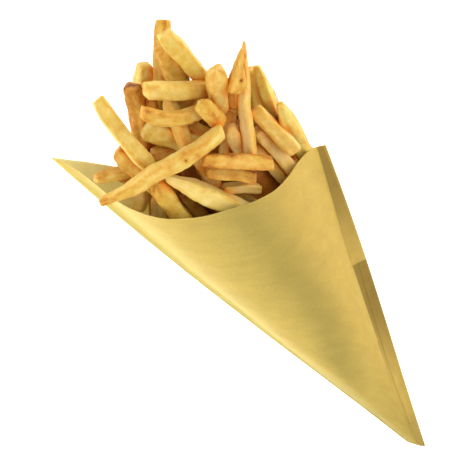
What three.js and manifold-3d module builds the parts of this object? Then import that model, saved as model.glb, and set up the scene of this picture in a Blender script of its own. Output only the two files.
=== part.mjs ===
// French fries in a straw-paper cone that lies on its back wall. Millimetres, +Z up.
//
// paper_cone  the folded sheet: a domed front wall over a back wall that lies flat on the table
// fries_heap  the portion: real-size fries fused to a smaller core inside the cone
//
// Every place below is measured from the cone's tip. The mouth opens towards -Y.

import * as THREE from "three";
import { mergeVertices } from "three/addons/utils/BufferGeometryUtils.js";
import Module from "manifold-3d";

const wasm = await Module();
wasm.setup();

// ---------------------------------------------------------------- the paper's dimensions

// The sheet's two folds run from the blunt tip to these corners of the mouth.
const LONG_FOLD_END = [73.5, -269.5, 14];
const SHORT_FOLD_END = [-43.8, -200.4, 42];
const TIP_LONG = [7.2, -9.1, 2];
const TIP_SHORT = [0, 0, 2];
const TIP_RISE = 1.8; // how far the front wall stands above the folds at the tip

// The crown is the highest point of the front wall's rim.
const CROWN = [31.8, -216.9, 65];
// The back wall's rim meets the table at these two points.
const FOOT_SHORT = [-30, -180, 0];
const FOOT_LONG = [48, -239, 0];

const BOW = 0.06; // share of its width by which the cone swells halfway along
const WALL_LIFT = 0.8; // the inside of the back wall above the table
const WALL_SLIDE = 5.5; // the inside is the outside slid this far out of the mouth
const WALL_SLOPE = 0.25; // how far the walls close in for each millimetre towards the tip
const CLOSED_TIP = 0.05; // share of the cone's length that is solid at the tip
const PAST_MOUTH = 1.2; // the inside runs on to here, so that it cuts the mouth open

const AROUND = 48; // facets round the cone
const ALONG = 6; // facets along it

// ---------------------------------------------------------------- the fries' dimensions

const GAP = 0.35; // clear space kept between fries and paper

// The heap fans out from the tip. At the mouth, REACH from the tip, it fills this ellipse.
const REACH = 212;
const FAN = { x: 3, z: 22, halfX: 34, halfZ: 22, lift: 5.4 };

// The core fills this share of the fan, from start to nose, and rounds off to end.
const CORE = { start: 0.27, nose: 0.9, end: 1.06, fill: 0.82, sides: 16, rounds: 3 };

// A fry is a square stick with cut corners, a little slimmer towards its ends.
const CORNER_CUT = 0.24; // share of the width cut from each corner
const BLUNT = 0.8; // share of the width left at a plain end
const TAPER = 0.2; // share of the length over which an end slims down
const FRY_RINGS = [0, 0.07, 0.35, 0.65, 0.93, 1]; // where a fry's facets meet along it
const ROLL_STEP = 37; // degrees by which each fry is turned further round its length than the last

// Fries below the ones that show are dealt out by a seeded rule.
const HIDDEN = {
  seed: 19,
  tries: 9000,
  most: 40,
  width: [7.2, 9.1],
  length: [52, 82],
  start: [0.62, 0.88], // reach of the inner ends
  furthest: 1.25, // reach of the outer ends in the middle of the fan
  edge: 0.18, // how much less that is at the fan's edge
  sway: 34, // how far the outer ends stray to the sides
  rise: 14, // and up and down
  closest: 0.7, // share of the mean width kept between two centre lines
  near: 11, // this near to a fry that shows
  under: 3, // a hidden one lies this much lower
  shortest: 45,
};
const LINE_SAMPLES = 16; // points at which two centre lines are compared

// The fries that show, from the far end of the heap to the paper's rim, and last two that carry the loose
// ones at the wide side: both ends of the centre line, the width, the sideways bow, and the share of the
// width left at each end.
const SHOWN = [
  { from: [-12, -299, 35.5], to: [21, -254, 32.5], width: 8.5 },
  { from: [2.5, -266, 23.5], to: [8, -246, 33.5], width: 7.5 },
  { from: [-4, -290, 51.5], to: [3, -248.5, 24.5], width: 10.5 },
  { from: [-7, -300, 65.5], to: [-15.5, -238, 29], width: 8.5, ends: [0.95, 0.9] },
  { from: [7.5, -284.5, 28], to: [30.5, -245, 21], width: 12, ends: [0.75, 0.8] },
  { from: [19, -283.5, 45], to: [34.5, -241.5, 32.5], width: 9.5 },
  { from: [25, -271, 33.5], to: [37, -241.5, 25.5], width: 5.5 },
  { from: [15.5, -281.5, 60.5], to: [-12, -260.5, 50.5], width: 8.5, ends: [0.95, 0.85] },
  { from: [15, -272.5, 45], to: [25.5, -250, 40.5], width: 6.5 },
  { from: [-18, -272, 67], to: [-7.5, -249.5, 53], width: 9.5, ends: [0.75, 0.6] },
  { from: [-13.5, -257, 30], to: [6.5, -249, 38.5], width: 7.5 },
  { from: [-11.5, -250.5, 28.5], to: [10, -230.5, 27], width: 7 },
  { from: [-34, -273, 67], to: [-19, -257, 65.5], width: 8.5, ends: [0.3, 0.9] },
  { from: [-37, -273.5, 59.5], to: [-8.5, -223.5, 60], width: 7, bow: -1.5, ends: [0.2, 1] },
  { from: [-34, -257, 47.5], to: [-15, -214, 43], width: 7 },
  { from: [-35.5, -259.5, 58], to: [-27.5, -214.5, 40.5], width: 7, ends: [0.5, 0.9] },
  { from: [-35, -244.5, 45], to: [-26.5, -205, 32], width: 6.5, ends: [0.6, 0.9] },
  { from: [-21, -257.5, 51.5], to: [-4, -233, 31.5], width: 7.5 },
  { from: [-13.5, -246.5, 50], to: [4, -228, 51], width: 6.5 },
  { from: [22.5, -275.5, 67], to: [-2.5, -256.5, 56.5], width: 7.5, bow: -3.5, ends: [0.9, 0.9] },
  { from: [-3.5, -263, 67], to: [-5, -246.5, 60], width: 8.5 },
  { from: [26, -263.5, 50.5], to: [8, -239, 48.5], width: 10, ends: [0.9, 0.8] },
  { from: [8, -252.5, 47], to: [-4, -225, 35], width: 7.5 },
  { from: [8, -269, 49], to: [15, -246, 60], width: 8, ends: [0.7, 0.75] },
  { from: [30.5, -250.5, 48.5], to: [1.5, -232, 32], width: 7 },
  { from: [-23, -242, 56], to: [-28.5, -211, 55.5], width: 8 },
  { from: [-34.5, -237.5, 59], to: [-33, -193.5, 34], width: 9.5, bow: -0.5, ends: [0.4, 0.9] },
  { from: [-18, -231.5, 54], to: [-25.5, -191, 40], width: 7, bow: -0.5, ends: [0.8, 0.7] },
  { from: [-9, -242.5, 58], to: [-2.5, -213.5, 50.5], width: 8, ends: [0.5, 0.9] },
  { from: [17, -229, 43], to: [-8.5, -232, 45.5], width: 7 },
  { from: [11.5, -238.5, 65], to: [-15.5, -217, 67], width: 7.5, bow: -0.5, ends: [0.75, 0.9] },
  { from: [-14, -221.5, 37.5], to: [-19.5, -187, 35.5], width: 7.5, bow: -0.5 },
  { from: [13.5, -230, 58.5], to: [-5, -213, 58.5], width: 7, bow: 0.5, ends: [0.7, 0.9] },
  { from: [11.5, -216, 51], to: [-4, -203, 47.5], width: 6 },
  { from: [13, -241, 56], to: [14.5, -204, 40], width: 7.5, ends: [0.8, 0.7] },
  { from: [31, -240.5, 60.5], to: [4.5, -192, 51.5], width: 9.5, ends: [0.35, 0.9] },
  { from: [64, -250.5, 65.5], to: [-4.5, -245.5, 67.5], width: 8.5, bow: -2, ends: [0.45, 0.85] },
  { from: [36, -291, 57], to: [34, -245.5, 55], width: 8, bow: -1.5 },
  { from: [43, -263, 50.5], to: [36.5, -230, 45], width: 10, ends: [0.65, 0.9] },
  { from: [60, -255, 42], to: [39, -243.5, 37.5], width: 6.5 },
  { from: [36.5, -239, 56], to: [37, -199.5, 45.5], width: 9 },
  { from: [39, -229, 38], to: [48.5, -210, 34.5], width: 9 },
  { from: [41, -238, 39.5], to: [53, -227.5, 38.5], width: 7 },
  { from: [29.5, -223.5, 45], to: [27, -177.5, 29.5], width: 6.5 },
  { from: [6.5, -209, 44.5], to: [-3, -178, 36.5], width: 6 },
  { from: [-11, -206.5, 33], to: [-2.5, -183.5, 32.5], width: 7.5 },
  { from: [20, -194, 26], to: [51, -250, 34], width: 7 },
  { from: [31.5, -200.5, 32.5], to: [33.5, -253, 43.5], width: 7 },
];

// ---------------------------------------------------------------- the paper's surface

const vector = (place) => new THREE.Vector3(...place);
const bezier = (...places) => new THREE.CubicBezierCurve3(...places.map(vector));

// The rim runs from the long fold over the front wall to the short fold, and back along the table.
const FRONT_RIM = [
  bezier(LONG_FOLD_END, [57, -250, 23.5], [66, -237, 66], CROWN),
  bezier(CROWN, [-25, -187.5, 61], [-20, -213.5, 51], SHORT_FOLD_END),
];
const BACK_RIM = [
  bezier(SHORT_FOLD_END, [-46, -193, 22], [-42, -183, 0], FOOT_SHORT),
  bezier(FOOT_SHORT, [-4, -186, 0], [28, -222, 0], FOOT_LONG),
  bezier(FOOT_LONG, [56, -248.5, 0], [66, -260, 8], LONG_FOLD_END),
];
const FRONT_BREAKS = [0, 0.5, 1];
const BACK_BREAKS = [0, 0.25, 0.75, 1];

// The point a share of the way along a chain of curves that meet at the given breaks.
function along(curves, breaks, share) {
  let i = 0;
  while (i < curves.length - 1 && share > breaks[i + 1]) i += 1;
  return curves[i].getPoint((share - breaks[i]) / (breaks[i + 1] - breaks[i]));
}

// The small flat mouth of the tip: the front wall stands up from the folds, the back wall lies down.
function tipPoint(front, share) {
  const [start, end] = front ? [TIP_LONG, TIP_SHORT] : [TIP_SHORT, TIP_LONG];
  const place = vector(start).lerp(vector(end), share);
  if (front) {
    place.z += TIP_RISE * Math.sin(Math.PI * share);
  } else {
    const down = Math.min(1, 4 * share, 4 * (1 - share));
    place.z *= 1 - Math.sin((Math.PI / 2) * down);
  }
  return place;
}

// A point of the paper: turn goes once round from the long fold, reach from the tip (0) to the rim (1).
function paperPoint(turn, reach) {
  const front = turn < 0.5;
  const share = front ? 2 * turn : 2 * turn - 1;
  const rim = front ? along(FRONT_RIM, FRONT_BREAKS, share) : along(BACK_RIM, BACK_BREAKS, share);
  const place = tipPoint(front, share).lerp(rim, reach);
  place.x *= 1 + BOW * Math.sin(Math.PI * Math.min(1, reach));
  return place;
}

// ---------------------------------------------------------------- solids

// Welds a geometry's vertices and hands it over as a solid with its faces outwards.
function solidFrom(geometry) {
  geometry.deleteAttribute("normal");
  geometry.deleteAttribute("uv");
  const welded = mergeVertices(geometry, 1e-4);
  const triVerts = new Uint32Array(welded.index.array);
  const vertProperties = welded.attributes.position.array;
  const made = new wasm.Manifold(new wasm.Mesh({ numProp: 3, vertProperties, triVerts }));
  if (made.volume() > 0) return made;
  triVerts.reverse();
  return new wasm.Manifold(new wasm.Mesh({ numProp: 3, vertProperties, triVerts }));
}

// Moves every vertex of a geometry to place(x, y, z).
function reshape(geometry, place) {
  const position = geometry.attributes.position;
  for (let i = 0; i < position.count; i += 1) {
    const moved = place(position.getX(i), position.getY(i), position.getZ(i));
    position.setXYZ(i, moved.x, moved.y, moved.z);
  }
  return geometry;
}

// The paper's surface between two reaches, closed at both ends and slid out of the mouth or up.
function coneSolid(from, to, slide = 0, lift = 0) {
  const drum = new THREE.CylinderGeometry(1, 1, 1, AROUND, ALONG);
  return solidFrom(
    reshape(drum, (x, y, z) => {
      const reach = from + (to - from) * (y + 0.5);
      const turn = (Math.atan2(x, z) / (2 * Math.PI) + 1) % 1;
      const place = paperPoint(turn, reach);
      const capCentre = Math.hypot(x, z) < 0.5;
      if (capCentre) {
        place.set(0, 0, 0);
        for (const side of [0, 0.25, 0.5, 0.75]) place.addScaledVector(paperPoint(side, reach), 0.25);
      }
      return place.add(new THREE.Vector3(0, -slide, lift));
    }),
  );
}

function paperCone() {
  const inside = coneSolid(CLOSED_TIP, PAST_MOUTH, WALL_SLIDE, WALL_LIFT);
  return coneSolid(0, 1).subtract(inside);
}

// What the fries keep clear of: the paper's wall, thicker by the gap on each side.
function paperGuard() {
  const slack = GAP / WALL_SLOPE;
  const outside = coneSolid(0, 1.01, -slack, -GAP);
  return outside.subtract(coneSolid(CLOSED_TIP, PAST_MOUTH, WALL_SLIDE + 2 * slack, WALL_LIFT + GAP));
}

// ---------------------------------------------------------------- fries

// A place inside the fan that the heap fills, x and z as they are at the mouth.
function fanPoint(x, z, reach) {
  return new THREE.Vector3(x * reach, -REACH * reach, z * reach + FAN.lift);
}

// A section of a fry: a square of width 1 with cut corners.
function frySection() {
  const half = 0.5;
  const flat = half - CORNER_CUT;
  const shape = new THREE.Shape();
  shape.moveTo(half, -flat);
  shape.lineTo(half, flat);
  shape.lineTo(flat, half);
  shape.lineTo(-flat, half);
  shape.lineTo(-half, flat);
  shape.lineTo(-half, -flat);
  shape.lineTo(-flat, -half);
  shape.lineTo(flat, -half);
  return shape;
}

// The centre line of a fry: straight, or bowed sideways.
function fryLine(fry, share) {
  const from = vector(fry.from);
  const to = vector(fry.to);
  const side = new THREE.Vector3(from.y - to.y, to.x - from.x, 0).normalize();
  return from.lerp(to, share).addScaledVector(side, (fry.bow ?? 0) * 4 * share * (1 - share));
}

// How much of its width a fry has at a share of its length.
function fryFullness(fry, share) {
  const [first, last] = fry.ends ?? [BLUNT, BLUNT];
  const swell = (end, inwards) => end + (1 - end) * Math.sin((Math.min(1, inwards / TAPER) * Math.PI) / 2);
  return Math.min(swell(first, share), swell(last, 1 - share));
}

function frySolid(fry, index) {
  const steps = FRY_RINGS.length - 1;
  const stick = new THREE.ExtrudeGeometry(frySection(), { depth: 1, steps, bevelEnabled: false });
  const ahead = vector(fry.to).sub(vector(fry.from)).normalize();
  const side = new THREE.Vector3(-ahead.y, ahead.x, 0).normalize();
  const up = new THREE.Vector3().crossVectors(ahead, side);
  const roll = ((index * ROLL_STEP) % 90) * THREE.MathUtils.DEG2RAD;
  const right = side.clone().multiplyScalar(Math.cos(roll)).addScaledVector(up, Math.sin(roll));
  const top = up.clone().multiplyScalar(Math.cos(roll)).addScaledVector(side, -Math.sin(roll));
  return solidFrom(
    reshape(stick, (x, y, z) => {
      const share = FRY_RINGS[Math.round(z * steps)];
      const width = fry.width * fryFullness(fry, share);
      return fryLine(fry, share).addScaledVector(right, x * width).addScaledVector(top, y * width);
    }),
  );
}

// Draws between two values that are the same on every run.
function seeded(seed) {
  let value = seed;
  return (least, most) => {
    value = (value * 16807) % 2147483647;
    return least + ((most - least) * value) / 2147483647;
  };
}

function lineSamples(fry) {
  return Array.from({ length: LINE_SAMPLES }, (_, i) => fryLine(fry, i / (LINE_SAMPLES - 1)));
}

// One fry of the fan, from a random place in it outwards.
function drawFry(draw) {
  const angle = draw(0, 2 * Math.PI);
  const out = Math.sqrt(draw(0, 1));
  const across = out * Math.cos(angle);
  const above = out * Math.sin(angle);
  const width = draw(...HIDDEN.width);
  const length = draw(...HIDDEN.length);
  const start = draw(...HIDDEN.start);
  const end = Math.min(start + length / REACH, HIDDEN.furthest - HIDDEN.edge * out * out);
  const endAcross = across + (HIDDEN.sway / FAN.halfX) * draw(-0.5, 0.5);
  const endAbove = above + (HIDDEN.rise / FAN.halfZ) * draw(-0.5, 0.5);
  const within = Math.max(1, Math.hypot(endAcross, endAbove));
  const inFan = (u, v, reach) => fanPoint(FAN.x + FAN.halfX * u, FAN.z + FAN.halfZ * v, reach).toArray();
  return { from: inFan(across, above, start), to: inFan(endAcross / within, endAbove / within, end), width };
}

// Whether a fry's samples keep clear of one that lies already.
function keepsClear(points, width, other) {
  const least = (HIDDEN.closest * (width + other.width)) / 2;
  return other.points.every((p) =>
    points.every((q) => {
      const apart = p.distanceTo(q);
      const covers = other.shows && apart < HIDDEN.near && q.z > p.z - HIDDEN.under;
      return apart >= least && !covers;
    }),
  );
}

// Deals out fries under the ones that show.
function hiddenFries() {
  const draw = seeded(HIDDEN.seed);
  const lying = SHOWN.map((fry) => ({ points: lineSamples(fry), width: fry.width, shows: true }));
  const dealt = [];
  for (let i = 0; i < HIDDEN.tries && dealt.length < HIDDEN.most; i += 1) {
    const fry = drawFry(draw);
    const points = lineSamples(fry);
    const longEnough = vector(fry.from).distanceTo(vector(fry.to)) >= HIDDEN.shortest;
    if (longEnough && lying.every((other) => keepsClear(points, fry.width, other))) {
      lying.push({ points, width: fry.width, shows: false });
      dealt.push(fry);
    }
  }
  return dealt;
}

// ---------------------------------------------------------------- the heap

// The core: a rounded wedge in the middle of the fan, out to just past the mouth.
function coreSolid() {
  const profile = [new THREE.Vector2(0, CORE.start), new THREE.Vector2(CORE.start, CORE.start)];
  for (let i = 0; i <= CORE.rounds; i += 1) {
    const angle = (Math.PI / 2) * (i / CORE.rounds);
    const radius = i < CORE.rounds ? CORE.nose * Math.cos(angle) : 0;
    profile.push(new THREE.Vector2(radius, CORE.nose + (CORE.end - CORE.nose) * Math.sin(angle)));
  }
  const wedge = new THREE.LatheGeometry(profile, CORE.sides);
  return solidFrom(
    reshape(wedge, (x, y, z) => {
      const place = fanPoint(FAN.x, FAN.z, y);
      place.x += x * FAN.halfX * CORE.fill;
      place.z += z * FAN.halfZ * CORE.fill;
      return place;
    }),
  );
}

// Fuses the fries to the core and keeps the one body that holds the core: sealed hollows and scraps go.
function friesHeap() {
  const fries = [...SHOWN, ...hiddenFries()];
  const fused = wasm.Manifold.union([coreSolid(), ...fries.map(frySolid)]).subtract(paperGuard());
  const bodies = fused.decompose();
  const sizes = bodies.map((body) => body.volume());
  return bodies[sizes.indexOf(Math.max(...sizes))];
}

// ---------------------------------------------------------------- the object

function meshOf(name, solid, color, roughness) {
  const made = solid.getMesh();
  const geometry = new THREE.BufferGeometry();
  geometry.setAttribute("position", new THREE.BufferAttribute(made.vertProperties, 3));
  geometry.setIndex(new THREE.BufferAttribute(made.triVerts, 1));
  geometry.computeVertexNormals();
  const mesh = new THREE.Mesh(geometry, new THREE.MeshStandardMaterial({ color, roughness, metalness: 0 }));
  mesh.name = name;
  return mesh;
}

const root = new THREE.Group();
root.add(meshOf("paper_cone", paperCone(), 0xdcc46c, 0.85));
root.add(meshOf("fries_heap", friesHeap(), 0xe2ae54, 0.55));

// The origin is on the table, under the middle of the whole.
const box = new THREE.Box3().setFromObject(root);
const middle = box.getCenter(new THREE.Vector3());
root.position.set(-middle.x, -middle.y, -box.min.z);

export default root;
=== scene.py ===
"""French fries in a straw-paper cone: a folded sheet on its back wall, with the portion fanning out of it.

Places are in millimetres from the cone's tip, as in the part's source, and are moved into the row frame at
the end. The mouth opens towards -Y and the table is at z = 0.
"""

import math
from dataclasses import dataclass, replace

import bpy
import numpy as np
from bpy.props import FloatProperty, FloatVectorProperty, IntProperty, PointerProperty
from mathutils import Matrix, Vector


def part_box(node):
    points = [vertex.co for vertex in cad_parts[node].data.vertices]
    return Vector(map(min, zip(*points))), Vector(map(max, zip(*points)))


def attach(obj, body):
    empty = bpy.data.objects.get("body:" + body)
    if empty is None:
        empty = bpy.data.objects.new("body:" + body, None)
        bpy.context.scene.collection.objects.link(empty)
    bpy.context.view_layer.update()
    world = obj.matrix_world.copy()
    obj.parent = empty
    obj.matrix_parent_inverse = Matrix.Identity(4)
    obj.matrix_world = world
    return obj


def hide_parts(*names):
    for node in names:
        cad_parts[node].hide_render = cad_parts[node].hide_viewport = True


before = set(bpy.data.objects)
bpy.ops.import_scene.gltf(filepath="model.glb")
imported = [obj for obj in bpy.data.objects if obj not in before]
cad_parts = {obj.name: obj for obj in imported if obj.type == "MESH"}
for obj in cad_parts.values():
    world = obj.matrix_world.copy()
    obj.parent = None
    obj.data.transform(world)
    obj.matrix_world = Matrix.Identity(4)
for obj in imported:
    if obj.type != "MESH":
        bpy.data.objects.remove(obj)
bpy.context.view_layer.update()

bl_info = {
    "name": "French fries in a paper cone",
    "version": (1, 0, 0),
    "blender": (4, 5, 0),
    "location": "3D View > Sidebar > Fries cone",
    "description": "Folds a straw-paper cone and fills it with fried potato sticks",
    "category": "Add Mesh",
}

MM = 0.001
BODY = "root"
BAKE_MAP = "OFBake"

# ---------------------------------------------------------------- the paper's dimensions

LONG_FOLD_END = (73.5, -269.5, 14)
SHORT_FOLD_END = (-43.8, -200.4, 42)
TIP_LONG = (7.2, -9.1, 2)
TIP_SHORT = (0, 0, 2)
TIP_RISE = 1.8
CROWN = (31.8, -216.9, 65)
FOOT_SHORT = (-30, -180, 0)
FOOT_LONG = (48, -239, 0)
BOW = 0.06
FRONT_RIM = [
    (LONG_FOLD_END, (57, -250, 23.5), (66, -237, 66), CROWN),
    (CROWN, (-25, -187.5, 61), (-20, -213.5, 51), SHORT_FOLD_END),
]
FRONT_BREAKS = [0, 0.5, 1]
BACK_RIM = [
    (SHORT_FOLD_END, (-46, -193, 22), (-42, -183, 0), FOOT_SHORT),
    (FOOT_SHORT, (-4, -186, 0), (28, -222, 0), FOOT_LONG),
    (FOOT_LONG, (56, -248.5, 0), (66, -260, 8), LONG_FOLD_END),
]
BACK_BREAKS = [0, 0.25, 0.75, 1]

# The sheet's last edge laps over the front wall beside the short fold. Its seam runs this far from the fold,
# as (reach, millimetres): an outer flap from the mouth to FLAP_END, and a narrower under-layer from there on.
FLAP_END = 0.645
FLAP_SEAM = [(FLAP_END, 9.7), (0.76, 9.2), (0.9, 7.0), (1.0, 5.3)]
LAP_SEAM = [(0.0, 5.0), (0.25, 7.6), (0.4, 7.2), (0.55, 6.3), (FLAP_END, 5.6)]
UNDER_LAYER_STEP = 0.8  # its step, as a share of the flap's
SEAM_SEARCH = (0.4, 1, 241)  # the shares of the front wall between which the seams lie, and the steps taken
LAP_COLUMNS = 26  # grid columns on the lap
SEAM_SLOPE = 0.0016  # half the share of the front wall over which the step at a seam rises
FLAP_END_SLOPE = 0.0006  # half the reach over which the step at the flap's end rises
COLUMN_SPREAD = 0.93  # below 1 sets the columns closer towards the seam

# A crease pressed into the front wall near the tip, as (share of the front, reach).
CREASE = [(0.36, 0.56), (0.385, 0.46), (0.465, 0.31), (0.55, 0.16)]
CREASE_SAMPLES = 60
CREASE_HEIGHT = 0.9
CREASE_REACH = 11  # how far aside it fades out

RIM_UNEVENNESS = 0.5

# A band of painted shade down the front wall: the share of the front wall at its middle, how far it leans
# below a reach, how wide it is to either side, and the reaches between which it sets in.
PAINTED_SHADE_BAND = {"middle": 0.575, "lean": 0.35, "bend": 0.55, "left": 0.062, "right": 0.09, "sets_in": (0.2, 0.42)}

# What the sheet's colour is multiplied by.
DOUBLE_AND_SHADE_TINT = (0.48, 0.44, 0.23)  # where it lies double, and painted shade on that strip, which faces away from the light
SHADE_BAND_TINT = (0.69, 0.71, 0.66)  # painted shade in the band down the front wall
SEAM_SIDE_TINT = (0.95, 0.89, 0.78)  # beside the short fold
TIP_TINT = (0.84, 0.83, 0.72)  # near the tip
LONG_FOLD_SHADE_TINT = (0.80, 0.82, 0.58)  # along the long fold, near the tip: painted shade where the key light falls strongly, and a yellower hue
LEMON_TINT = (0.90, 0.94, 0.78)  # along the rest of the long fold
TIP_CORNER_TINT = (0.80, 0.81, 0.80)  # at the tip, by the short fold

# The sheet laid flat, for its grain: from tip to rim, across each wall, and the inner face's distance.
GRAIN_LENGTH, GRAIN_WIDTH, GRAIN_OFFSET = 280, 150, 40

# ---------------------------------------------------------------- the fries' dimensions

REACH = 212
FAN = {"x": 3, "z": 22, "half_x": 34, "half_z": 22, "lift": 5.4}
CORE = {
    "start": 0.27,
    "nose": 0.95,
    "end": 1.17,
    "fill": 0.82,
    "around": 64,
    "rings": 40,
    "nose_rings": 12,
    "tip_radius": 0.0054,
    "end_radius": 0.004,
    # the core's dark crust is painted shade deep in the heap
    "crust": {"tone": 1.0, "toast": 0.5, "crevice": 0.15, "warm": 0.0},
}
BLUNT = 0.8
TAPER = 0.2
HIDDEN = {
    "seed": 19,
    "tries": 9000,
    "most": 40,
    "width": (7.2, 9.1),
    "length": (52, 82),
    "start": (0.62, 0.88),
    "furthest": 1.25,
    "edge": 0.18,
    "sway": 34,
    "rise": 14,
    "closest": 0.7,
    "near": 11,
    "under": 3,
    "shortest": 45,
}
LINE_SAMPLES = 16
RANDOM_STEP, RANDOM_RANGE = 16807, 2147483647

# How a cut end closes: share of the section, from the middle of the cut out to its rounded rim.
CUT = (0.0, 0.3, 0.58, 0.78, 0.9, 0.965, 1.0)
RIM_DEPTH = 0.11  # depth of the rounding, as a share of the width
RIM_CURVE = 5
SQUARENESS = 5.0
FACES = 4
FIRST_SEED = 900  # of the draws for the first fry; the others count on from it
PLUMPNESS = 1.03  # makes up for what the sunk faces and the nicks take away
TWIST = 16  # most degrees from end to end
STRAY_ASIDE, STRAY_UP = 0.95, 0.6  # most that the centre line strays
GIRTH_CHANGE = 0.1
SLANT = 0.25  # most slope of a cut end
HIDDEN_AROUND, HIDDEN_ALONG = 28, 44  # points round and rings along a fry that hardly shows

BROWNEST_PLAIN = 0.74  # how brown the crust gets by its tone alone
BROWNING = (0.05, 0.27, 0.48, 0.7, 0.9, 1.0)  # how brown it is at each colour, from cream to dark
OLIVE_TINT = (0.95, 1.02, 0.74)
PINKISH_TINT = (1.02, 0.925, 0.98)
FACE_TONES = 0.13  # most that the tone of a face differs from the fry's
MARK_TOAST = 1.6  # toast in the middle of a mark of strength 1
MOST_TOAST = 1.6
FAR_OFF = 9  # keeps the marks on the upper faces

# How near another fry is where the shade between them is full, and where it ends; and how far off it counts.
SHADE_FULL, SHADE_NONE, SHADE_SEARCH = -0.8, 3.6, 16
LINE_PIECES = 6  # straight pieces that stand for a fry in this
LINE_INSET = 0.03  # share of the length left off at each end


@dataclass
class Fry:
    """One potato stick: its centre line, and how it was cut and fried."""

    start: tuple
    end: tuple
    width: float
    bow: float = 0.0  # sideways, in millimetres
    ends: tuple = (BLUNT, BLUNT)  # share of the width left at each end
    taper: tuple = (TAPER, TAPER)  # share of the length over which each end slims down
    face: float = 0.0  # degrees by which its upper face is rolled
    tone: float = 0.5  # 0 pale, 1 brown; partly painted light and shade, set fry by fry
    toast: tuple = (0.3, 0.3)  # how browned each end is
    warm: float = 0.0  # -1 olive, 1 pinkish
    marks: tuple = ()  # brown spots, as (share of the length, how far aside, radius, strength)
    laid: tuple = ()  # its start and end in the heap, if it settled away from where the solid has it


# The fries that show: first those that stand out of the mouth, then those that lie across them.
STANDING = [
    Fry((-12, -299, 35.5), (21, -254, 32.5), 8.5, face=45, tone=0.64, toast=(0.1, 0.3), warm=-0.7),
    Fry((2.5, -266, 23.5), (8, -246, 33.5), 7.5, face=20, tone=0.72, toast=(0.4, 0.4)),
    Fry((-4, -290, 51.5), (3, -248.5, 24.5), 10.5, face=5, tone=0.5, toast=(0.2, 0.4)),
    Fry((-7, -300, 65.5), (-15.5, -238, 29), 8.5, ends=(0.95, 0.9), face=8, tone=0.3, toast=(0.05, 0.3),
        warm=-0.5),
    Fry((7.5, -284.5, 28), (30.5, -245, 21), 12, ends=(0.6, 0.8), face=-12, tone=0.24, toast=(0.5, 0.3),
        warm=-0.2,
        marks=((0.08, -0.35, 0.8, 0.25), (0.14, -0.3, 0.8, 0.25),
               (0.2, -0.32, 0.8, 0.2), (0.06, 0.8, 2.6, 0.3))),
    Fry((19, -283.5, 45), (34.5, -241.5, 32.5), 9.5, face=30, tone=0.74, toast=(0.35, 0.4), warm=0.2,
        marks=((0, -0.5, 1.5, 0.6),)),
    Fry((25, -271, 33.5), (37, -241.5, 25.5), 5.5, face=10, tone=0.68, toast=(0.4, 0.4)),
    Fry((15.5, -281.5, 60.5), (-12, -260.5, 50.5), 8.5, ends=(0.95, 0.85), face=12, tone=0.3,
        toast=(0.1, 0.8), marks=((0.97, 0, 5, 0.4), (0.8, 0, 6, 0.25))),
    Fry((15, -272.5, 45), (25.5, -250, 40.5), 6.5, face=15, tone=0.74, toast=(0.3, 0.4)),
    Fry((-18, -272, 67), (-7.5, -249.5, 53), 9.5, ends=(0.75, 0.6), face=-10, tone=0.34, warm=0.4),
    Fry((-13.5, -257, 30), (6.5, -249, 38.5), 7.5, face=25, tone=0.55),
    Fry((-11.5, -250.5, 28.5), (10, -230.5, 27), 7, face=50, tone=0.58),
    Fry((-34, -273, 67), (-19, -257, 65.5), 8.5, ends=(0.12, 0.95), taper=(0.8, 0.2), face=-15, tone=0.56,
        toast=(0.3, 0.5), marks=((0.68, 0.3, 0.9, 1),)),
    Fry((-37, -273.5, 59.5), (-8.5, -223.5, 60), 7, bow=-1.5, ends=(0.16, 1), taper=(0.42, 0.2), face=45,
        tone=0.28, toast=(0.5, 0.2), warm=0.4, marks=((0.12, 0, 1.2, 0.4),)),
    Fry((-34, -257, 47.5), (-15, -214, 43), 7, face=12, tone=0.38, warm=-0.4),
    Fry((-35.5, -259.5, 58), (-27.5, -214.5, 40.5), 7, ends=(0.5, 0.9), taper=(0.35, 0.2), face=35,
        tone=0.34, toast=(0.2, 0.3), warm=-0.6),
    Fry((-35, -244.5, 45), (-26.5, -205, 32), 6.5, ends=(0.6, 0.9), face=20, tone=0.6, toast=(0.3, 0.4)),
    Fry((-21, -257.5, 51.5), (-4, -233, 31.5), 7.5, face=5, tone=0.42),
    Fry((-13.5, -246.5, 50), (4, -228, 51), 6.5, laid=((-14, -246.5, 50), (3, -227.5, 51)), face=38,
        tone=0.48, toast=(0.25, 0.3), warm=1, marks=((0.05, 0, 2, 0.2),)),
]
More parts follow.
